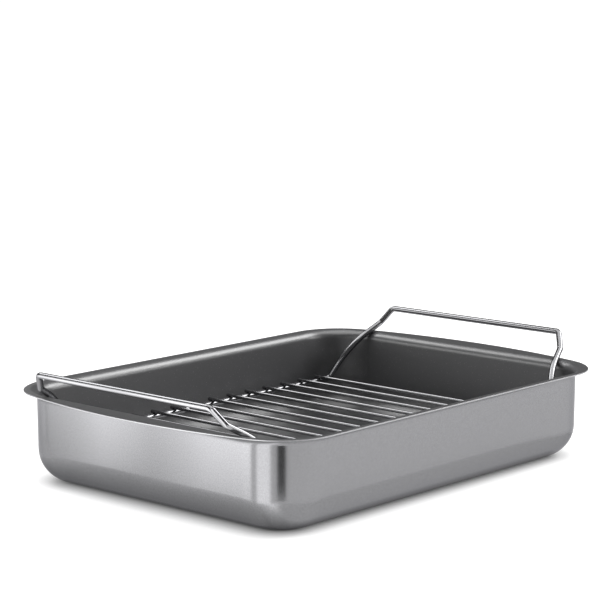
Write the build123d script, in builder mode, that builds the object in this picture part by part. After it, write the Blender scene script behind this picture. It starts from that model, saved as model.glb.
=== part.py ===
from build123d import *
from math import cos, radians, sin, sqrt, tan
import os

# Roasting pan with a lift-out wire rack.
# The origin is the middle of the base, on the surface that the pan stands on.
# +X runs along the pan to its rear end, +Y across it to its left side, +Z up.
# Lengths are in millimetres, angles in degrees.

# Pan: outside sizes of the pressed sheet, measured where the wall meets the rim
wall_length = 370.0
wall_width = 276.2
pan_height = 71.4
sheet = 1.0
corner_radius = 40.0
base_edge_radius = 26.0
wall_draft = 0.5

# Rim: the wall bends outwards into a flat flange that is widest in the middle of each end
rim_bend = 7.0
side_flat = 3.3
end_flat = 14.8
corner_flat = 4.8
flange_corner_margin = 1.7
cut_edge_round = 0.25

# Rack frame: one gauge of wire for the side rails and the handles that they turn up into
frame_wire = 5.0
rail_gap = 17.1
rack_drop = 39.6
rail_bend = 6.0

# Handles: each leg rises from a rail, leans over the rim, kinks and meets the bar
rest_gap = 0.3
rest_slope = 30.4
rest_shift = 0.8
leg_splay = 16.0
leg_run = 35.8
knee_reach = 21.6
knee_bend = 63.0
kink_reach = 12.0
kink_bend = 4.5
bar_reach = 13.2
bar_rise = 19.6
bar_inset = 7.3
bar_bend = 4.5

# Cross wires: laid over the rails and sunk a little into them by the welds
cross_wire = 3.0
cross_wire_count = 14
cross_wire_overhang = 4.2
cross_wire_margin = 13.1
weld_sink = 0.5
wire_end_round = 0.4

# Pan sizes that follow
draft_slope = tan(radians(wall_draft))
base_inset = pan_height * draft_slope
floor_inset = (pan_height - sheet) * draft_slope
rim_bend_x = wall_length / 2 - sheet + rim_bend - rim_bend * draft_slope
rim_bend_y = wall_width / 2 - sheet + rim_bend
rim_bend_z = pan_height - rim_bend
straight_end_half = wall_width / 2 - corner_radius

# The flange's end is one arc, highest at the middle and lower where the corners begin
flange_half_length = wall_length / 2 - sheet + rim_bend + end_flat
flange_half_width = rim_bend_y + side_flat
end_rise = end_flat - corner_flat
end_arc_radius = (end_rise ** 2 + straight_end_half ** 2) / (2 * end_rise)
end_arc_centre = flange_half_length - end_arc_radius
flange_corner_x = end_arc_centre + sqrt(end_arc_radius ** 2 - flange_half_width ** 2)
flange_corner_radius = corner_radius - sheet + rim_bend + flange_corner_margin

# Rack sizes that follow: the rails hang between the long walls
rail_y = wall_width / 2 - sheet - rail_gap
rail_z = pan_height - rack_drop
rail_corner_x = rim_bend_x - leg_run
last_wire_x = rail_corner_x - cross_wire_margin
wire_pitch = 2 * last_wire_x / (cross_wire_count - 1)
seam_x = last_wire_x - wire_pitch / 2

# A leg rests on the rim's bend at the end of its straight stretch, so its line there is a
# tangent of a circle round the bend's centre
rest_radius = rim_bend + frame_wire / 2 + rest_gap
rest_x = rim_bend_x - rest_radius * sin(radians(rest_slope))
rest_z = rim_bend_z + rest_radius * cos(radians(rest_slope))
rest_y = straight_end_half + rest_shift


def leg_point(reach):
    """The place on a leg's line over the rim, at a distance outwards from where it rests."""
    return (
        rest_x + reach * cos(radians(rest_slope)),
        rest_y - reach * tan(radians(leg_splay)),
        rest_z + reach * sin(radians(rest_slope)),
    )


kink = leg_point(kink_reach)
knee = leg_point(-knee_reach)
bar_corner = (rim_bend_x + bar_reach, kink[1] - bar_inset, pan_height + bar_rise)
rail_corner = (rail_corner_x, rail_y, rail_z)
rail_seam = (seam_x, rail_y, rail_z)
half_handle = [bar_corner, kink, knee, rail_corner, rail_seam]
half_handle_bends = [bar_bend, kink_bend, knee_bend, rail_bend]

os.makedirs("parts", exist_ok=True)


# The pan's hollow, one sheet thickness inside its outer form
with BuildPart() as hollow:
    with BuildSketch(Plane.XY.offset(sheet)):
        RectangleRounded(
            wall_length - 2 * (sheet + floor_inset),
            wall_width - 2 * (sheet + floor_inset),
            corner_radius - sheet - floor_inset,
        )
    extrude(amount=pan_height - sheet, taper=-wall_draft)
    fillet(hollow.faces().sort_by(Axis.Z)[0].edges(), radius=base_edge_radius - sheet)


# Pan body: one sheet pressed into walls, base and rim
with BuildPart() as pan_body:
    with BuildSketch(Plane.XY):
        RectangleRounded(
            wall_length - 2 * base_inset,
            wall_width - 2 * base_inset,
            corner_radius - base_inset,
        )
    extrude(amount=pan_height - sheet, taper=-wall_draft)
    base = pan_body.faces().sort_by(Axis.Z)[0]
    fillet(base.edges(), radius=base_edge_radius)

    # The flange, a plate with bowed ends and round corners
    with BuildSketch(Plane.XY.offset(pan_height - sheet)) as flange:
        with BuildLine():
            for end in (-1, 1):
                ThreePointArc(
                    (end * flange_corner_x, -flange_half_width),
                    (end * flange_half_length, 0),
                    (end * flange_corner_x, flange_half_width),
                )
            for side in (-1, 1):
                Line(
                    (-flange_corner_x, side * flange_half_width),
                    (flange_corner_x, side * flange_half_width),
                )
        make_face()
        fillet(flange.vertices(), radius=flange_corner_radius)
    extrude(amount=sheet)
    flange_underside = pan_body.faces().filter_by(Plane.XY).sort_by(Axis.Z)[1]
    fillet(flange_underside.inner_wires()[0].edges(), radius=rim_bend - sheet)

    # The hollow opens upwards, and its mouth is the upper face of the rim's bend
    add(hollow.part, mode=Mode.SUBTRACT)
    flange_top = pan_body.faces().filter_by(Plane.XY).sort_by(Axis.Z)[-1]
    fillet(flange_top.inner_wires()[0].edges(), radius=rim_bend)

    # The cut edge round the flange is deburred above and below
    level_faces = pan_body.faces().filter_by(Plane.XY).sort_by(Axis.Z)
    cut_edges = level_faces[-1].outer_wire().edges() + level_faces[-2].outer_wire().edges()
    fillet(cut_edges, radius=cut_edge_round)
pan_body.part.label = "pan_body"
export_step(pan_body.part, "parts/pan_body.step")


# Handles: bar, legs and rail ends are one bent wire at each end of the rack
for end, handle_name in ((-1, "handle_front"), (1, "handle_rear")):
    left_half = [(end * x, y, z) for x, y, z in half_handle]
    right_half = [(end * x, -y, z) for x, y, z in half_handle]
    with BuildPart() as handle:
        with BuildLine() as handle_line:
            FilletPolyline(
                *reversed(left_half),
                *right_half,
                radius=[*reversed(half_handle_bends), *half_handle_bends],
            )
        with BuildSketch(Plane(origin=handle_line.line @ 0, z_dir=handle_line.line % 0)):
            Circle(frame_wire / 2)
        sweep()
    handle.part.label = handle_name
    export_step(handle.part, f"parts/{handle_name}.step")


# Side rails: straight wires, butt welded to the ends of both handles
for side, rail_name in ((1, "rail_left"), (-1, "rail_right")):
    with BuildPart() as rail:
        with BuildSketch(Plane.YZ.offset(-seam_x)):
            with Locations((side * rail_y, rail_z)):
                Circle(frame_wire / 2)
        extrude(amount=2 * seam_x)
    rail.part.label = rail_name
    export_step(rail.part, f"parts/{rail_name}.step")


# Cross wires: each lies over both rails, in the seats that its welds make
wire_z = rail_z + frame_wire / 2 + cross_wire / 2 - weld_sink
for number in range(1, cross_wire_count + 1):
    wire_x = wire_pitch * (number - 1) - last_wire_x
    wire_name = f"cross_wire_{number:02d}"
    with BuildPart() as wire:
        with BuildSketch(Plane.XZ):
            with Locations((wire_x, wire_z)):
                Circle(cross_wire / 2)
        extrude(amount=rail_y + cross_wire_overhang, both=True)
        fillet(wire.edges().filter_by(GeomType.CIRCLE), radius=wire_end_round)
        with BuildSketch(Plane.YZ.offset(wire_x)):
            with Locations((rail_y, rail_z), (-rail_y, rail_z)):
                Circle(frame_wire / 2)
        extrude(amount=cross_wire, both=True, mode=Mode.SUBTRACT)
    wire.part.label = wire_name
    export_step(wire.part, f"parts/{wire_name}.step")

print("pan", round(2 * flange_half_length, 1), round(2 * flange_half_width, 1), pan_height)
print("cross wire pitch", round(wire_pitch, 2), "rail height", round(rail_z, 2))
print("handle bar height", round(bar_corner[2], 2), "length", round(2 * bar_corner[1], 1))
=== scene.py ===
# %% [markdown]
# A roasting pan with a rack that lifts out, dressed for its picture.
# The construction is done already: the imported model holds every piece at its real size. This script gives
# it what the eye looks for: smooth sheet, coating, bright wire, light and a camera. Lengths are metres,
# in the model's own frame: X along the pan, Y across it, Z up, and the origin on the surface that the pan
# stands on.

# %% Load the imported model
import math

import bmesh
import bpy
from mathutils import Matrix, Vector


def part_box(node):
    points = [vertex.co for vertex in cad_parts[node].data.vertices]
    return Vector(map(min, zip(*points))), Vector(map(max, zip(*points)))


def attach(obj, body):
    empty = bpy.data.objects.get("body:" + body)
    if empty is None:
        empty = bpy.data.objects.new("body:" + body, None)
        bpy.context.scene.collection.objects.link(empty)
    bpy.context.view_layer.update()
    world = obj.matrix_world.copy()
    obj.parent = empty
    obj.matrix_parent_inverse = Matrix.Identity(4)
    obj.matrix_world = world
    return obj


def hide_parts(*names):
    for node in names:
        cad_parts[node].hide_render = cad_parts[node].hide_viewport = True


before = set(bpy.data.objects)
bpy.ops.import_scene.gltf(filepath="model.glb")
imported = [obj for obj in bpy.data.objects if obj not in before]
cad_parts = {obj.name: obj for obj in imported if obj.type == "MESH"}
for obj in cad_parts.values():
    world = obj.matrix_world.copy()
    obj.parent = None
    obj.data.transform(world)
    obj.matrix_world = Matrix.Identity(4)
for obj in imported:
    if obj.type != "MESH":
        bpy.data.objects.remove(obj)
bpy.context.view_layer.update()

MM = 0.001

# %% [markdown]
# The picture was taken with a long lens, low, from the front right of the pan. Where its edges meet in
# the picture fixes all of that: 9.2 degrees above the floor, 48.1 degrees round from the pan's side, 1.7
# m away. The camera comes first, because everything else is judged through it.

# %% Camera
camera_place = Vector((-1243.5, -1107.1, 397.9)) * MM
camera_turn = 48.11
camera_drop = 9.20
field_of_view = 15.96

camera = bpy.data.objects.new("camera", bpy.data.cameras.new("camera"))
bpy.context.scene.collection.objects.link(camera)
camera.location = camera_place
camera.rotation_euler = [math.radians(angle) for angle in (90 - camera_drop, 0, -camera_turn)]
camera.data.angle = math.radians(field_of_view)
bpy.context.scene.camera = camera
print("Camera", round(camera_place.length, 2), "m away, lens", round(camera.data.lens), "mm")

# %% [markdown]
# The model's boxes say how large each piece is and where it lies. They can't say how a form turns from
# one size to the next, so the radii of the pressed sheet are written here. They are the ones that the
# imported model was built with.

# %% Sizes of the pan
flange_half_length, flange_half_width, pan_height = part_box("pan_body")[1]
wall_length = 370.0 * MM
wall_width = 276.2 * MM
sheet = 1.0 * MM
coating = 0.1 * MM
corner_radius = 40.0 * MM
base_edge_radius = 26.0 * MM
rim_bend = 7.0 * MM
end_rise = 10.0 * MM
flange_corner_margin = 1.7 * MM
cut_edge_round = 0.25 * MM
wall_draft = 0.5
draft_slope = math.tan(math.radians(wall_draft))
over_rim = [round(2 * half / MM, 1) for half in (flange_half_length, flange_half_width)]
print("Pan", over_rim[0], "x", over_rim[1], "mm over the rim")

# %% [markdown]
# Pressed sheet has no flat faces that meet at an edge: every form runs into the next. Such a skin is
# built from closed rings, one above the other, and each ring crosses the same stations. A station is a
# point on the rectangle of corner centres and a direction outwards, so one distance from it gives the
# wall, the bend or the flange alike.

# %% Stations round the pan
corner_steps = 28
side_steps = 20


def wall_stations():
    """The stations in turn, each as a centre and a unit direction outwards."""
    x = wall_length / 2 - corner_radius
    y = wall_width / 2 - corner_radius
    corners = [Vector((x, y)), Vector((-x, y)), Vector((-x, -y)), Vector((x, -y))]
    stations = []
    for number, centre in enumerate(corners):
        for step in range(corner_steps + 1):
            angle = math.radians(90 * (number + step / corner_steps))
            outward = Vector((math.cos(angle), math.sin(angle)))
            stations.append((centre, outward))
        after = corners[(number + 1) % len(corners)]
        for step in range(1, side_steps):
            stations.append((centre.lerp(after, step / side_steps), outward))
    return stations


stations = wall_stations()
print(len(stations), "stations")

# %% [markdown]
# The flange is a strip of constant width along the sides and bows outwards at the ends, to carry the
# rack. Its outline is one arc for each end, a straight line for each side and a round corner between
# them. For a ring, it is only needed how far that outline lies from a station.

# %% The flange's outline
arc_half = wall_width / 2 - corner_radius
end_arc_radius = (end_rise ** 2 + arc_half ** 2) / (2 * end_rise)
end_arc_centre = flange_half_length - end_arc_radius
flange_corner_radius = corner_radius - sheet + rim_bend + flange_corner_margin
round_y = flange_half_width - flange_corner_radius
round_x = end_arc_centre + math.sqrt((end_arc_radius - flange_corner_radius) ** 2 - round_y ** 2)


def reach_to_circle(start, outward, centre, radius):
    """How far a ray from start runs until it leaves the circle."""
    along = (centre - start).dot(outward)
    return along + math.sqrt(along ** 2 - (centre - start).length_squared + radius ** 2)


def flange_reach(start, outward):
    """How far the flange's edge is from a station, worked out in the quarter where x and y are positive."""
    start = Vector((abs(start.x), abs(start.y)))
    outward = Vector((abs(outward.x), abs(outward.y)))
    reach = reach_to_circle(start, outward, Vector((end_arc_centre, 0)), end_arc_radius)
    if outward.y * reach > flange_half_width - start.y:
        reach = (flange_half_width - start.y) / outward.y
    meets = start + outward * reach
    round_slope = round_y / (round_x - end_arc_centre)
    if meets.x > round_x and meets.y > (meets.x - end_arc_centre) * round_slope:
        reach = reach_to_circle(start, outward, Vector((round_x, round_y)), flange_corner_radius)
    return reach


edge_reaches = [flange_reach(*station) for station in stations]
edge_span = [round(reach / MM, 1) for reach in (min(edge_reaches), max(edge_reaches))]
print("The flange's edge is", edge_span[0], "to", edge_span[1], "mm out")

# %% [markdown]
# Now the section of the sheet, as rows of a reach and a height. A bend is an arc of rows. A flat stretch
# needs few rows, but one close to each of its ends, because smooth shading averages the faces round a
# point: without that row, a flat wall would look bowed in its reflections.

# %% Rows of the section
bend_steps = 12
hem = 0.8 * MM
middle_shares = (0.25, 0.5, 0.75)


def bend(centre, radius, start, end):
    """Rows round a bend, from one angle to another: 0 points outwards and 90 up."""
    angles = [math.radians(start + (end - start) * step / bend_steps) for step in range(bend_steps + 1)]
    return [(centre[0] + radius * math.cos(a), centre[1] + radius * math.sin(a)) for a in angles]


def flat_between(first, last):
    """Rows on the flat stretch between two rows: one near each end and the middle ones."""
    span = math.dist(first, last)
    shares = (hem / span, *middle_shares, 1 - hem / span)
    return [tuple(a + (b - a) * share for a, b in zip(first, last)) for share in shares]


def wall_centre(height, radius):
    """How far out the centre of a bend is that touches the wall. A negative radius lies inside the wall."""
    wall_reach = corner_radius - (pan_height - height) * draft_slope
    return wall_reach + radius / math.cos(math.radians(wall_draft))


base_centre = (wall_centre(base_edge_radius, -base_edge_radius), base_edge_radius)
rim_height = pan_height - rim_bend
rim_centre = (wall_centre(rim_height, rim_bend - sheet), rim_height)


def outer_rows():
    """Rows up the outside, from the base to where the flange begins."""
    base = bend(base_centre, base_edge_radius, -90, -wall_draft)
    rim = bend(rim_centre, rim_bend - sheet, 180 - wall_draft, 90)
    inside_base = (base[0][0] - hem, base[0][1])
    return [inside_base, *base, *flat_between(base[-1], rim[0]), *rim]


def inner_rows(depth):
    """Rows down the inside, from the flange to the floor, at a depth in the sheet."""
    rim = bend(rim_centre, rim_bend - depth, 90, 180 - wall_draft)
    floor = bend(base_centre, base_edge_radius - sheet + depth, -wall_draft, -90)
    inside_floor = (floor[-1][0] - hem, floor[-1][1])
    return [*rim, *flat_between(rim[-1], floor[0]), *floor, inside_floor]


print(len(outer_rows()) + len(inner_rows(0)), "rows in the section")

# %% [markdown]
# A ring is a row carried round all the stations. The flange's rings lie between its bend and its edge,
# whose distance changes from one station to the next. The edge itself is cut and then deburred, so it has
# a small radius above and below, which is what catches the light as a thin bright line.

# %% Rings
edge_steps = 4
flange_shares = (0.06, 0.35, 0.65, 0.94)


def ring(reaches, height):
    """One point for each station, at its reach."""
    return [
        (*(centre + outward * reach), height)
        for (centre, outward), reach in zip(stations, reaches)
    ]


def rings_of(rows):
    """A ring for each row, at the same reach all the way round."""
    return [ring([reach] * len(stations), height) for reach, height in rows]


def flange_rings(inner_reach, height, edge_margin):
    """Rings on a flat side of the flange, from its bend out to a margin from the cut edge."""
    return [
        ring([inner_reach + (edge - edge_margin - inner_reach) * share for edge in edge_reaches], height)
        for share in flange_shares
    ]


def edge_rings(start, end, height):
    """Rings round a deburred edge, from one angle to another."""
    rings = []
    for step in range(edge_steps + 1):
        angle = math.radians(start + (end - start) * step / edge_steps)
        out = cut_edge_round * (math.cos(angle) - 1)
        rise = cut_edge_round * math.sin(angle)
        rings.append(ring([edge + out for edge in edge_reaches], height + rise))
    return rings


def skin(name, rings):
    """A closed skin through rings of equal length, with a flat cap on the first and on the last."""
    build = bmesh.new()
    rows = [[build.verts.new(point) for point in points] for points in rings]
    for row, above in zip(rows, rows[1:]):
        for left in range(len(row)):
            right = (left + 1) % len(row)
            build.faces.new((row[left], row[right], above[right], above[left]))
    build.faces.new(reversed(rows[0]))
    build.faces.new(rows[-1])
    bmesh.ops.recalc_face_normals(build, faces=build.faces)
    for face in build.faces:
        face.smooth = True
    mesh = bpy.data.meshes.new(name)
    build.to_mesh(mesh)
    build.free()
    piece = bpy.data.objects.new(name, mesh)
    bpy.context.scene.collection.objects.link(piece)
    return piece


def box_of(piece):
    """A piece's box in mm, to read against the model's."""
    points = [vertex.co / MM for vertex in piece.data.vertices]
    return [round(f(p[axis] for p in points), 2) for f in (min, max) for axis in range(3)]


# %% [markdown]
# The pan is two layers that come out of one press: steel, and a coating baked on its inside and on top of
# the rim. They are two pieces here, because they are two finishes. The steel's skin runs up the outside,
# round the cut edge, and back down under the coating. The faces round the cut edge take a finish of their
# own.

# %% Steel pan
steel_rings = [
    *rings_of(outer_rows()),
    *flange_rings(rim_centre[0], pan_height - sheet, cut_edge_round),
    *edge_rings(-90, 0, pan_height - sheet + cut_edge_round),
    *edge_rings(0, 90, pan_height - coating - cut_edge_round),
    *reversed(flange_rings(rim_centre[0], pan_height - coating, cut_edge_round)),
    *rings_of(inner_rows(coating)),
]
steel_pan = skin("steel_pan", steel_rings)
rings_below_edge = len(outer_rows()) + len(flange_shares)
rings_past_edge = rings_below_edge + 2 * edge_steps + 1
for number in range(rings_below_edge * len(stations), rings_past_edge * len(stations)):
    steel_pan.data.polygons[number].material_index = 1
print("Steel pan", box_of(steel_pan), len(steel_pan.data.polygons), "faces")

# %% [markdown]
# The coating is a closed skin too, thin as a coat of paint. It runs up the inside against the steel and
# out over the flange, turns round its own edge, and comes back as the face that shows. It ends short of
# the deburred edge.

# %% Coating
coating_rings = [
    *reversed(rings_of(inner_rows(coating))),
    *flange_rings(rim_centre[0], pan_height - coating, cut_edge_round),
    ring([edge - cut_edge_round for edge in edge_reaches], pan_height - coating),
    ring([edge - cut_edge_round for edge in edge_reaches], pan_height - coating / 2),
    ring([edge - cut_edge_round - coating for edge in edge_reaches], pan_height),
    *reversed(flange_rings(rim_centre[0], pan_height, cut_edge_round + coating)),
    *rings_of(inner_rows(0)),
]
nonstick_coating = skin("nonstick_coating", coating_rings)
print("Coating", box_of(nonstick_coating), len(nonstick_coating.data.polygons), "faces")

# %% [markdown]
# Geometry Nodes and materials are both trees of nodes, so one small function serves them: it adds a node,
# sets what is its own, and fills its inputs, either with a value or with a link from another node.

# %% One function for nodes
def add(tree, kind, inputs=(), **settings):
    """A new node. inputs maps a socket's name or number to a value, or to the socket that feeds it."""
    node = tree.nodes.new(kind)
    for key, value in settings.items():
        setattr(node, key, value)
    for key, value in dict(inputs).items():
        if isinstance(value, bpy.types.NodeSocket):
            tree.links.new(value, node.inputs[key])
        else:
            node.inputs[key].default_value = value
    return node


def geometry_tree(name, **sockets):
    """A Geometry Nodes tree with named inputs, and its input node."""
    tree = bpy.data.node_groups.new(name, "GeometryNodeTree")
    tree.interface.new_socket("Geometry", in_out="INPUT", socket_type="NodeSocketGeometry")
    for key, kind in sockets.items():
        tree.interface.new_socket(key.replace("_", " "), in_out="INPUT", socket_type="NodeSocket" + kind)
    tree.interface.new_socket("Geometry", in_out="OUTPUT", socket_type="NodeSocketGeometry")
    return tree, tree.nodes.new("NodeGroupInput")


def grow(name, start, tree, **values):
    """Runs a tree on the start object and keeps its result as a plain mesh, in place of the start."""
    modifier = start.modifiers.new(tree.name, "NODES")
    modifier.node_group = tree
    for item in tree.interface.items_tree:
        key = item.name.replace(" ", "_")
        if item.in_out == "INPUT" and key in values:
            modifier[item.identifier] = values[key]
    evaluated = start.evaluated_get(bpy.context.evaluated_depsgraph_get())
    mesh = bpy.data.meshes.new_from_object(evaluated)
    bpy.data.objects.remove(start)
    mesh.name = name
    piece = bpy.data.objects.new(name, mesh)
    bpy.context.scene.collection.objects.link(piece)
    print(name, box_of(piece), len(mesh.polygons), "faces")
    return piece


# %% [markdown]
# Colours are written as they look on a screen, in hex. Blender's shaders work in linear light, so one
# function turns one into the other.

# %% Colours
def colour(code):
    """A hex colour as Blender's linear red, green, blue and alpha, by the curve of the sRGB standard."""
    shares = [int(code[start:start + 2], 16) / 255 for start in (1, 3, 5)]
    linear = [share / 12.92 if share <= 0.04045 else ((share + 0.055) / 1.055) ** 2.4 for share in shares]
    return (*linear, 1)


def material_tree(name):
    """A new material, its empty tree and the position on the object, which every pattern is measured in."""
    material = bpy.data.materials.new(name)
    material.use_nodes = True
    tree = material.node_tree
    tree.nodes.clear()
    return material, tree, add(tree, "ShaderNodeTexCoord").outputs["Object"]


def finish_material(tree, shader):
    """Makes a shader the material's surface."""
    add(tree, "ShaderNodeOutputMaterial", {"Surface": shader.outputs[0]})


# %% [markdown]
# The finishes share four things: a noise as fine as a real grain, a spread of that noise over limits of
# its own, a colour shaded by it, and dents that follow it.

# %% Grain
noise_low, noise_high = 0.3, 0.7


def noise(tree, position, grain, detail, roughness=0.5):
    """A noise from 0 to 1 whose specks are about a grain across."""
    node = add(
        tree, "ShaderNodeTexNoise",
        {"Vector": position, "Scale": 1 / grain, "Detail": detail, "Roughness": roughness},
    )
    return node.outputs["Fac"]


def spread(tree, value, limits):
    """A noise carried from the range that it mostly fills to limits of its own."""
    node = add(
        tree, "ShaderNodeMapRange",
        {
            "Value": value, "From Min": noise_low, "From Max": noise_high,
            "To Min": limits[0], "To Max": limits[1],
        },
    )
    return node.outputs[0]


def shaded(tree, code, shade):
    """A colour made a little darker or lighter by a shade round 1."""
    node = add(tree, "ShaderNodeVectorMath", {0: colour(code)[:3], "Scale": shade}, operation="SCALE")
    return node.outputs[0]


def dents(tree, height, strength, depth):
    """The normal of a surface whose dents follow a height."""
    node = add(tree, "ShaderNodeBump", {"Height": height, "Strength": strength, "Distance": depth})
    return node.outputs["Normal"]


# %% [markdown]
# Stainless steel, cold rolled and then satin finished with a fine abrasive belt. That leaves a grey metal
# whose reflections are soft and have a very fine grain. The real grit is finer than a pixel of the
# picture, so the grain is drawn about 1 mm coarse, with a fainter and longer grain along the direction of
# the belt.

# %% Satin stainless steel
steel_grain = 1.1 * MM
belt_grain = 14.0 * MM
belt_share = 0.12
grit_roughness = 0.6
# The metal's colour seen straight on, and at a glancing angle
steel_colour, steel_glance = "#868688", "#C6C6C8"
steel_shades = (0.91, 1.09)
steel_roughness = (0.185, 0.22)
steel_dents, steel_dent_depth = 0.04, steel_grain / 8

satin_steel, tree, position = material_tree("satin_stainless_steel")
grit = noise(tree, position, steel_grain, detail=3, roughness=grit_roughness)
belt_scale = (1 / belt_grain, 1 / belt_grain, 1 / steel_grain)
belt_position = add(tree, "ShaderNodeMapping", {"Vector": position, "Scale": belt_scale}).outputs[0]
belt = noise(tree, belt_position, 1, detail=4, roughness=grit_roughness)
steel_noise = add(tree, "ShaderNodeMix", {"Factor": belt_share, "A": grit, "B": belt}).outputs[0]
steel_shader = add(
    tree, "ShaderNodeBsdfPrincipled",
    {
        "Base Color": shaded(tree, steel_colour, spread(tree, steel_noise, steel_shades)),
        "Metallic": 1.0,
        "Roughness": spread(tree, steel_noise, steel_roughness),
        "Specular Tint": colour(steel_glance),
        "Normal": dents(tree, steel_noise, steel_dents, steel_dent_depth),
    },
)
finish_material(tree, steel_shader)
print("Finish", satin_steel.name)

# %% [markdown]
# The rim is trimmed after pressing and its edge is deburred with a fine wheel. That burnishes the cut, so
# the same steel looks lighter there than on the satin walls.

# %% Burnished edge
burnish_grain = 0.6 * MM
burnish_colour = "#A4A4A6"
burnish_roughness = (0.42, 0.54)

burnished_edge, tree, position = material_tree("burnished_steel_edge")
burnish = noise(tree, position, burnish_grain, detail=2)
burnish_shader = add(
    tree, "ShaderNodeBsdfPrincipled",
    {
        "Base Color": colour(burnish_colour),
        "Metallic": 1.0,
        "Roughness": spread(tree, burnish, burnish_roughness),
    },
)
finish_material(tree, burnish_shader)
print("Finish", burnished_edge.name)

# %% [markdown]
# The non-stick coating is a polymer with dark pigment and a few mica flakes, sprayed on and baked. It is
# a dark satin grey with a soft sheen at a low angle, and the spray leaves it very slightly uneven.

# %% Non-stick coating
spray_grain = 0.9 * MM
spray_roughness = 0.65
spray_dents, spray_dent_depth = 0.1, spray_grain / 8
flake_spacing = 2.6 * MM
flake_core, flake_rim = 0.05, 0.16
coat_colour, flake_colour = "#4A4A4C", "#8A8A8C"
coat_shades = (0.85, 1.15)
coat_roughness = 0.36
coat_ior = 1.8

dark_coating, tree, position = material_tree("nonstick_coating")
spray = noise(tree, position, spray_grain, detail=3, roughness=spray_roughness)
flakes = add(tree, "ShaderNodeTexVoronoi", {"Vector": position, "Scale": 1 / flake_spacing})
flake_mask = add(
    tree, "ShaderNodeMapRange",
    {
        "Value": flakes.outputs["Distance"], "From Min": flake_core, "From Max": flake_rim,
        "To Min": 1, "To Max": 0,
    },
)
coat_tone = shaded(tree, coat_colour, spread(tree, spray, coat_shades))
flaked = add(
    tree, "ShaderNodeMix", {"Factor": flake_mask.outputs[0], "A": coat_tone, "B": colour(flake_colour)},
    data_type="RGBA",
)
coat_shader = add(
    tree, "ShaderNodeBsdfPrincipled",
    {
        "Base Color": flaked.outputs["Result"],
        "Roughness": coat_roughness,
        "IOR": coat_ior,
        "Specular IOR Level": 1.0,
        "Normal": dents(tree, spray, spray_dents, spray_dent_depth),
    },
)
finish_material(tree, coat_shader)
print("Finish", dark_coating.name)

# %% [markdown]
# The rack is drawn steel wire, bent, welded and then nickel and chrome plated. Plating follows every
# scratch of the drawing die, so the wire is bright but not quite a mirror: its reflections are long lines
# with soft edges.

# %% Bright plated wire
die_mark = 0.5 * MM
# The plating's colour seen straight on, and at a glancing angle
wire_colour, wire_glance = "#98989A", "#A2A2A4"
wire_roughness = (0.14, 0.2)

bright_wire, tree, position = material_tree("bright_plated_wire")
die = noise(tree, position, die_mark, detail=2)
wire_shader = add(
    tree, "ShaderNodeBsdfPrincipled",
    {
        "Base Color": colour(wire_colour),
        "Metallic": 1.0,
        "Roughness": spread(tree, die, wire_roughness),
        "Specular Tint": colour(wire_glance),
    },
)
finish_material(tree, wire_shader)
print("Finish", bright_wire.name)

# %% [markdown]
# A weld pushes a little metal out between the two wires, and the heat leaves it dark and rough where the
# plating comes out thin. It is a dull grey with a fine crust. Its darkness is partly painted shade: the
# dark beads also stand in for the contact shadow and the dark reflections where the wires cross.

# %% Weld crust
crust_grain = 0.3 * MM
# This dark grey is partly painted shade at the crossings of the wires
crust_and_shade_colour = "#3A3A3C"
crust_roughness = 0.5
crust_dents, crust_dent_depth = 0.5, crust_grain / 4

weld_crust_and_shade, tree, position = material_tree("plated_weld_crust")
crust = noise(tree, position, crust_grain, detail=3)
crust_and_shade_shader = add(
    tree, "ShaderNodeBsdfPrincipled",
    {
        "Base Color": colour(crust_and_shade_colour),
        "Metallic": 1.0,
        "Roughness": crust_roughness,
        "Normal": dents(tree, crust, crust_dents, crust_dent_depth),
    },
)
finish_material(tree, crust_and_shade_shader)
print("Finish", weld_crust_and_shade.name)

# %% [markdown]
# The frame of the rack is drawn as one long wire, bent sixteen times and closed into a loop: two straight
# rails, and at each end two legs that climb over the rim, a kink in each, and a bar to lift it by. The
# route is a list of its corners and the radius at each. One quarter of it is worked out and then
# mirrored.

# %% The route of the frame wire
rail_low, rail_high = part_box("rail_left")
cross_low, cross_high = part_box("cross_wire_01")
handle_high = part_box("handle_rear")[1]
rail = (rail_low + rail_high) / 2
frame_gauge = rail_high.z - rail_low.z
frame_sides = 28
frame_arc_steps = 14
rest_gap = 0.3 * MM
rest_shift = 0.8 * MM
rest_slope = math.radians(30.4)
leg_splay = math.radians(16.0)
leg_run = 35.8 * MM
knee_reach = 21.6 * MM
kink_reach = 12.0 * MM
bar_inset = 7.3 * MM
rail_bend = 6.0 * MM
knee_bend = 63.0 * MM
kink_bend = 4.5 * MM
bar_bend = 4.5 * MM

rim_x = wall_length / 2 - sheet + rim_bend - rim_bend * draft_slope
rest_radius = rim_bend + frame_gauge / 2 + rest_gap
rest = Vector((
    rim_x - rest_radius * math.sin(rest_slope),
    arc_half + rest_shift,
    rim_height + rest_radius * math.cos(rest_slope),
))
leg_line = Vector((math.cos(rest_slope), -math.tan(leg_splay), math.sin(rest_slope)))
kink = rest + leg_line * kink_reach
knee = rest - leg_line * knee_reach
bar_corner = Vector((
    handle_high.x - frame_gauge / 2,
    kink.y - bar_inset,
    handle_high.z - frame_gauge / 2,
))
rail_corner = Vector((rim_x - leg_run, rail.y, rail.z))

quarter = [(rail_corner, rail_bend), (knee, knee_bend), (kink, kink_bend), (bar_corner, bar_bend)]
turned = list(reversed(quarter))
route = [
    (Vector((point.x * end, point.y * side, point.z)), radius)
    for end, side, points in ((1, 1, quarter), (1, -1, turned), (-1, -1, quarter), (-1, 1, turned))
    for point, radius in points
]
print(len(route), "corners on the frame wire")

# %% [markdown]
# The tree takes the route as a line with sharp corners, rounds each corner by its own radius, and carries
# a circle of the wire's gauge along it.

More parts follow.
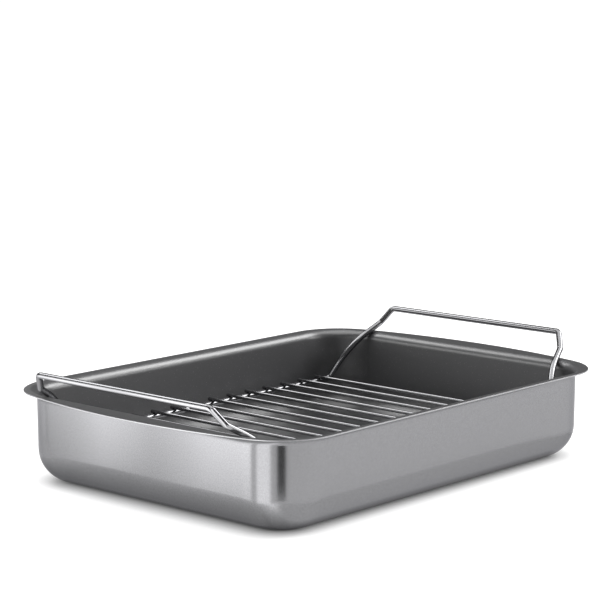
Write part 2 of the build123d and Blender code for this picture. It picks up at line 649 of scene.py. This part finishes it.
# %% Geometry Nodes that bend a wire
wire_tree, given = geometry_tree(
    "bent_wire", Gauge="Float", Sides="Int", Arc_Steps="Int", Finish="Material",
)
line = add(wire_tree, "GeometryNodeMeshToCurve", {"Mesh": given.outputs["Geometry"]})
bend_radius = add(wire_tree, "GeometryNodeInputNamedAttribute", {"Name": "bend_radius"}, data_type="FLOAT")
rounded = add(
    wire_tree, "GeometryNodeFilletCurve",
    {
        "Curve": line.outputs[0], "Radius": bend_radius.outputs["Attribute"], "Limit Radius": True,
        "Count": given.outputs["Arc Steps"],
    },
    mode="POLY",
)
half_gauge = add(wire_tree, "ShaderNodeMath", {0: given.outputs["Gauge"], 1: 0.5}, operation="MULTIPLY")
section = add(
    wire_tree, "GeometryNodeCurvePrimitiveCircle",
    {"Resolution": given.outputs["Sides"], "Radius": half_gauge.outputs[0]}, mode="RADIUS",
)
tube = add(
    wire_tree, "GeometryNodeCurveToMesh",
    {"Curve": rounded.outputs[0], "Profile Curve": section.outputs[0]},
)
realized = add(wire_tree, "GeometryNodeRealizeInstances", {"Geometry": tube.outputs[0]})
finished = add(
    wire_tree, "GeometryNodeSetMaterial",
    {"Geometry": realized.outputs[0], "Material": given.outputs["Finish"]},
)
add(wire_tree, "NodeGroupOutput", {0: finished.outputs[0]})

route_mesh = bpy.data.meshes.new("route")
route_edges = [(corner, (corner + 1) % len(route)) for corner in range(len(route))]
route_mesh.from_pydata([point for point, radius in route], route_edges, [])
bend_radii = route_mesh.attributes.new("bend_radius", "FLOAT", "POINT")
bend_radii.data.foreach_set("value", [radius for point, radius in route])
route_start = bpy.data.objects.new("route", route_mesh)
bpy.context.scene.collection.objects.link(route_start)
frame_wire = grow(
    "frame_wire", route_start, wire_tree,
    Gauge=frame_gauge, Sides=frame_sides, Arc_Steps=frame_arc_steps, Finish=bright_wire,
)

# %% [markdown]
# Fourteen straight wires lie across the rails, a pitch apart. One wire is made, and a tree repeats it in
# rows. The same tree places the weld beads.

# %% Geometry Nodes that repeat a piece
rows_tree, given = geometry_tree(
    "rows", Start="Vector", Along="Vector", Along_Count="Int", Across="Vector", Across_Count="Int",
    Finish="Material",
)
along = add(
    rows_tree, "GeometryNodeMeshLine",
    {
        "Count": given.outputs["Along Count"],
        "Start Location": given.outputs["Start"],
        "Offset": given.outputs["Along"],
    },
    mode="OFFSET",
)
across = add(
    rows_tree, "GeometryNodeMeshLine",
    {"Count": given.outputs["Across Count"], "Offset": given.outputs["Across"]}, mode="OFFSET",
)
grid = add(
    rows_tree, "GeometryNodeInstanceOnPoints",
    {"Points": along.outputs[0], "Instance": across.outputs[0]},
)
places = add(rows_tree, "GeometryNodeRealizeInstances", {"Geometry": grid.outputs[0]})
copies = add(
    rows_tree, "GeometryNodeInstanceOnPoints",
    {"Points": places.outputs[0], "Instance": given.outputs["Geometry"]},
)
realized = add(rows_tree, "GeometryNodeRealizeInstances", {"Geometry": copies.outputs[0]})
finished = add(
    rows_tree, "GeometryNodeSetMaterial",
    {"Geometry": realized.outputs[0], "Material": given.outputs["Finish"]},
)
add(rows_tree, "NodeGroupOutput", {0: finished.outputs[0]})

# %% [markdown]
# A cross wire is a skin of rings round its own line. Its ends are cropped and then tumbled, which rounds
# them.

# %% Cross wires
wire_gauge = cross_high.z - cross_low.z
wire_half_length = cross_high.y
wire_end_round = 0.4 * MM
wire_sides = 20
straight_shares = (-0.99, -0.5, 0, 0.5, 0.99)
first_x = (cross_low.x + cross_high.x) / 2
wire_z = (cross_low.z + cross_high.z) / 2
cross_wire_names = sorted(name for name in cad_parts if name.startswith("cross_wire"))
wire_pitch = -2 * first_x / (len(cross_wire_names) - 1)


def disc(y, radius_x, radius_z):
    """A ring round the Y axis."""
    turns = [2 * math.pi * side / wire_sides for side in range(wire_sides)]
    return [(radius_x * math.sin(turn), y, radius_z * math.cos(turn)) for turn in turns]


def end_discs(tip):
    """Rings round a wire's rounded end, from its flat middle to its full gauge. tip is -1 or 1."""
    discs = []
    for step in range(edge_steps + 1):
        angle = math.pi / 2 * step / edge_steps
        radius = wire_gauge / 2 - wire_end_round * (1 - math.sin(angle))
        y = tip * (wire_half_length - wire_end_round * (1 - math.cos(angle)))
        discs.append(disc(y, radius, radius))
    return discs


straight = [disc(wire_half_length * share, wire_gauge / 2, wire_gauge / 2) for share in straight_shares]
one_wire = skin("one_wire", [*end_discs(-1), *straight, *reversed(end_discs(1))])
cross_wires = grow(
    "cross_wires", one_wire, rows_tree, Start=(first_x, 0, wire_z),
    Along=(wire_pitch, 0, 0), Along_Count=len(cross_wire_names), Across=(0, 0, 0), Across_Count=1,
    Finish=bright_wire,
)

# %% [markdown]
# A resistance weld melts the two wires into each other and squeezes a little metal out between them. Each
# bead is a flat lump where a cross wire meets a rail, so there are two rows of them.

# %% Weld beads
bead_half_x = 2.0 * MM
bead_half_y = 2.3 * MM
bead_half_z = 0.7 * MM
bead_steps = 8
bead_tip = 0.2
bead_discs = []
for step in range(bead_steps + 1):
    angle = math.pi * (step + bead_tip) / (bead_steps + 2 * bead_tip)
    y, girth = -bead_half_y * math.cos(angle), math.sin(angle)
    bead_discs.append(disc(y, bead_half_x * girth, bead_half_z * girth))
one_bead = skin("one_bead", bead_discs)
weld_beads = grow(
    "weld_beads", one_bead, rows_tree, Start=(first_x, -rail.y, wire_z - wire_gauge / 2),
    Along=(wire_pitch, 0, 0), Along_Count=len(cross_wire_names),
    Across=(0, 2 * rail.y, 0), Across_Count=2, Finish=weld_crust_and_shade,
)

# %% [markdown]
# Each piece rides on the body that it belongs to, so that the rack lifts out of the pan in every pose. The
# model's nodes that the pieces stand for are hidden. The coating and the weld beads stand for none and
# only add to it.

# %% What rides on what
steel_pan.data.materials.append(satin_steel)
steel_pan.data.materials.append(burnished_edge)
nonstick_coating.data.materials.append(dark_coating)
for piece, slot in ((steel_pan, "brushed_stainless"), (nonstick_coating, "nonstick_coating")):
    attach(piece, "pan")
for piece in (frame_wire, cross_wires, weld_beads):
    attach(piece, "rack")
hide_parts("pan_body")
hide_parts("handle_front", "handle_rear", "rail_left", "rail_right")
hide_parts(*cross_wire_names)
print("On the pan:", steel_pan.name, nonstick_coating.name)
print("On the rack:", frame_wire.name, cross_wires.name, weld_beads.name)

# %% [markdown]
# The stage is a wide white floor. The lamps alone leave it grey, so it also glows by the part of white
# that is missing. The glow starts from almost nothing where the pan touches the floor and grows over a
# few centimetres: that is a painted shadow, a soft dark line under the pan on top of the real shadow
# that the lamps cast. Towards the horizon the glow grows a little more. Metal that mirrors the floor
# sees the same, painted shadow and all.

# %% Floor
floor_radius = 26.0
floor_sides = 64
floor_white = "#D0D0D0"
shadow_foot_glow, near_glow, far_glow = 0.04, 0.78, 1.0
near_start, near_reach, far_reach = 4 * MM, 30 * MM, 3.0
floor_mesh = bpy.data.meshes.new("floor")
floor_turns = [2 * math.pi * side / floor_sides for side in range(floor_sides)]
floor_points = [(floor_radius * math.cos(turn), floor_radius * math.sin(turn), 0) for turn in floor_turns]
floor_mesh.from_pydata(floor_points, [], [range(floor_sides)])
floor = bpy.data.objects.new("floor", floor_mesh)
bpy.context.scene.collection.objects.link(floor)

white_floor, tree, position = material_tree("white_floor")
matte = add(tree, "ShaderNodeBsdfDiffuse", {"Color": colour(floor_white)})
quadrant = add(tree, "ShaderNodeVectorMath", {0: position}, operation="ABSOLUTE")
core = (wall_length / 2 - corner_radius, wall_width / 2 - corner_radius, 0)
past_core = add(tree, "ShaderNodeVectorMath", {0: quadrant.outputs[0], 1: core}, operation="SUBTRACT")
outside = add(tree, "ShaderNodeVectorMath", {0: past_core.outputs[0], 1: (0, 0, 0)}, operation="MAXIMUM")
from_core = add(tree, "ShaderNodeVectorMath", {0: outside.outputs[0]}, operation="LENGTH")
base_reach = corner_radius - base_edge_radius
# The glow is held low close to the pan, which paints a dark shadow along its foot
painted_shadow_ramp = add(
    tree, "ShaderNodeMapRange",
    {
        "Value": from_core.outputs["Value"],
        "From Min": base_reach + near_start,
        "From Max": base_reach + near_reach,
        "To Min": shadow_foot_glow,
        "To Max": near_glow,
    },
)
far_ramp = add(
    tree, "ShaderNodeMapRange",
    {
        "Value": from_core.outputs["Value"],
        "From Min": near_reach,
        "From Max": far_reach,
        "To Min": 0,
        "To Max": far_glow - near_glow,
    },
)
lift = add(tree, "ShaderNodeMath", {0: painted_shadow_ramp.outputs[0], 1: far_ramp.outputs[0]}, operation="ADD")
path = add(tree, "ShaderNodeLightPath")
seen = add(
    tree, "ShaderNodeMath", {0: path.outputs["Is Camera Ray"], 1: path.outputs["Is Glossy Ray"]},
    operation="MAXIMUM",
)
seen_through = add(
    tree, "ShaderNodeMath", {0: seen.outputs[0], 1: path.outputs["Is Transmission Ray"]},
    operation="MAXIMUM",
)
shown = add(tree, "ShaderNodeMath", {0: seen_through.outputs[0], 1: lift.outputs[0]}, operation="MULTIPLY")
glow = add(tree, "ShaderNodeEmission", {"Strength": shown.outputs[0]})
finish_material(tree, add(tree, "ShaderNodeAddShader", {0: matte.outputs[0], 1: glow.outputs[0]}))
floor_mesh.materials.append(white_floor)
print("Floor", 2 * floor_radius, "m across")

# %% [markdown]
# Metal shows what stands round it, so most of its look is the studio. The room is dim. A large softbox
# hangs overhead, and others stand round the pan: each one's place was read from the streak that it leaves
# on a bend of the rim or on a wire.

# %% Lamps
room_level = 0.12
# An area lamp looks as bright as white with this many watts for each square metre
watts_for_white = 4
world = bpy.data.worlds.new("studio")
bpy.context.scene.world = world
world.use_nodes = True
world.node_tree.nodes.clear()
room = add(world.node_tree, "ShaderNodeBackground", {"Color": (1, 1, 1, 1), "Strength": room_level})
add(world.node_tree, "ShaderNodeOutputWorld", {"Surface": room.outputs[0]})


def softbox(name, azimuth, elevation, distance, width, height, level):
    """A soft area lamp that faces the pan. level is how bright it looks, where 1 is white."""
    turn, lean = math.radians(azimuth), math.radians(elevation)
    towards = Vector((math.cos(turn) * math.cos(lean), math.sin(turn) * math.cos(lean), math.sin(lean)))
    place = towards * distance
    lamp = bpy.data.objects.new(name, bpy.data.lights.new(name, "AREA"))
    bpy.context.scene.collection.objects.link(lamp)
    lamp.data.shape = "RECTANGLE"
    lamp.data.size = width
    lamp.data.size_y = height
    lamp.data.energy = watts_for_white * level * width * height
    lamp.location = place
    lamp.rotation_euler = place.to_track_quat("Z", "Y").to_euler()
    print("Softbox", name, width, "x", height, "m")


softbox("overhead", azimuth=0, elevation=90, distance=1.8, width=2.0, height=2.0, level=1.1)
softbox("rear_left", azimuth=94, elevation=48, distance=2.0, width=1.1, height=0.7, level=2.7)
softbox("rear_right", azimuth=-29, elevation=37, distance=2.0, width=1.1, height=1.1, level=4.2)
softbox("left", azimuth=150, elevation=13, distance=2.0, width=1.5, height=0.8, level=1.3)
softbox("right", azimuth=300, elevation=12, distance=2.0, width=1.0, height=0.8, level=2.2)

# %% [markdown]
# Close to the pan are a few cards, as beside any shiny thing in a studio. A lit screen grades the end
# wall from soft grey to bright, and a soft grey card carries on from it round the far corner. A narrow
# white card gives the stripe on the front corner, and a black one the dark stripe beside it. Another card
# lies on the floor round the foot of the pan, so that the turn into the base shows an even grey. Only
# reflections show them.

# %% Cards
card_material, tree = material_tree("card")[:2]
card_level = add(tree, "ShaderNodeAttribute", attribute_name="level")
finish_material(tree, add(tree, "ShaderNodeEmission", {"Strength": card_level.outputs["Fac"]}))


def card(name, rows):
    """A card stretched over rows of posts, each post an x, y, z and brightness."""
    mesh = bpy.data.meshes.new(name)
    across = len(rows[0])
    starts = [row * across + post for row in range(len(rows) - 1) for post in range(across - 1)]
    panels = [(start, start + 1, start + across + 1, start + across) for start in starts]
    posts = [post for row in rows for post in row]
    mesh.from_pydata([post[:3] for post in posts], [], panels)
    brightness = mesh.attributes.new("level", "FLOAT", "POINT")
    brightness.data.foreach_set("value", [post[3] for post in posts])
    mesh.materials.append(card_material)
    stand = bpy.data.objects.new(name, mesh)
    bpy.context.scene.collection.objects.link(stand)
    stand.visible_camera = False
    stand.visible_diffuse = False
    stand.visible_shadow = False
    stand.visible_transmission = False
    print("Card", name, len(panels), "panels")


def upright_card(name, columns, height, foot_share=1):
    """A card that stands on the floor. A column is an x, a y and the brightness of its head."""
    foot = [(x, y, 0, level * foot_share) for x, y, level in columns]
    head = [(x, y, height, level) for x, y, level in columns]
    card(name, [foot, head])


# %% [markdown]
# The screen stands across the front end of the pan and is about half as bright at its foot. Its columns
# are places along it, each with its brightness there. The white, the black and the grey card are each a
# row of places on the floor, x and y, with the brightness there.

# %% Upright cards
screen_x = -0.25
screen_height = 0.096
screen_foot_share = 0.49
screen_columns = (
    (-0.085, 4.3), (0.0, 4.2), (0.058, 2.9), (0.113, 4.1), (0.168, 2.6), (0.21, 2.35), (0.262, 2.15),
)
screen_places = [(screen_x, y, level) for y, level in screen_columns]
upright_card("end_screen", screen_places, screen_height, screen_foot_share)

card_height = 0.12
white_level, black_level = 2.7, 0.1
white_places = ((-0.2244, -0.1396, white_level), (-0.2378, -0.1053, white_level))
black_places = ((-0.2302, -0.2107, black_level), (-0.2566, -0.1847, black_level))
grey_places = ((-0.25, 0.262, 1.7), (-0.19, 0.36, 1.65), (0.08, 0.40, 1.5))
upright_card("white_card", white_places, card_height)
upright_card("black_card", black_places, card_height)
upright_card("grey_card", grey_places, card_height)

# %% [markdown]
# The floor card is a strip that lies round the foot of the pan. Each of its columns starts at a place on
# the floor, x and y, and runs outwards from there, in degrees. Then come its near, middle and far posts,
# each with how far out it is and its brightness. The columns start at the left side, pass the rear end,
# the right side and the front end, and close where they began.

# %% Floor card
lying_lift = 0.5 * MM
front_x, rear_x, left_y, right_y = -0.145, 0.145, 0.098, -0.098
side_posts = ((0.024, 0.32), (0.035, 1.14), (0.087, 1.12))
last_posts = ((0.027, 0.50), (0.060, 1.00), (0.105, 1.60))
left_start_x = -0.060
end_middle_y = 0.030
floor_columns = (
    (front_x, left_y, 90, last_posts),
    (left_start_x, left_y, 90, side_posts),
    (rear_x, left_y, 90, side_posts),
    (rear_x, left_y, 45, side_posts),
    (rear_x, left_y, 0, side_posts),
    (rear_x, right_y, 0, side_posts),
    (rear_x, right_y, -45, side_posts),
    (rear_x, right_y, -90, side_posts),
    (front_x, right_y, 270, side_posts),
    (front_x, right_y, 255, ((0.024, 0.32), (0.035, 1.10), (0.088, 1.15))),
    (front_x, right_y, 240, ((0.023, 0.30), (0.037, 1.06), (0.095, 1.18))),
    (front_x, right_y, 225, ((0.023, 0.30), (0.046, 1.12), (0.100, 1.20))),
    (front_x, right_y, 210, ((0.027, 0.42), (0.060, 1.50), (0.095, 2.80))),
    (front_x, right_y, 195, ((0.027, 0.54), (0.063, 1.10), (0.105, 1.80))),
    (front_x, right_y, 180, ((0.027, 0.57), (0.060, 0.90), (0.105, 1.35))),
    (front_x, end_middle_y, 180, ((0.027, 0.57), (0.060, 0.88), (0.105, 1.30))),
    (front_x, left_y, 180, ((0.027, 0.52), (0.060, 0.95), (0.105, 1.20))),
    (front_x, left_y, 150, ((0.027, 0.50), (0.060, 0.95), (0.105, 1.30))),
    (front_x, left_y, 120, ((0.027, 0.50), (0.060, 1.00), (0.105, 1.50))),
    (front_x, left_y, 90, last_posts),
)


def floor_post(x, y, way, reach, level):
    """A post some way out from the start of its column."""
    turn = math.radians(way)
    return (x + reach * math.cos(turn), y + reach * math.sin(turn), lying_lift, level)


floor_rows = [
    [floor_post(x, y, way, *posts[row]) for x, y, way, posts in floor_columns]
    for row in range(len(side_posts))
]
card("floor_card", floor_rows)

# %% [markdown]
# The picture shows colours as they are, with no film look over them.

# %% Colours as they are
bpy.context.scene.view_settings.view_transform = "Standard"
print("View", bpy.context.scene.view_settings.view_transform)
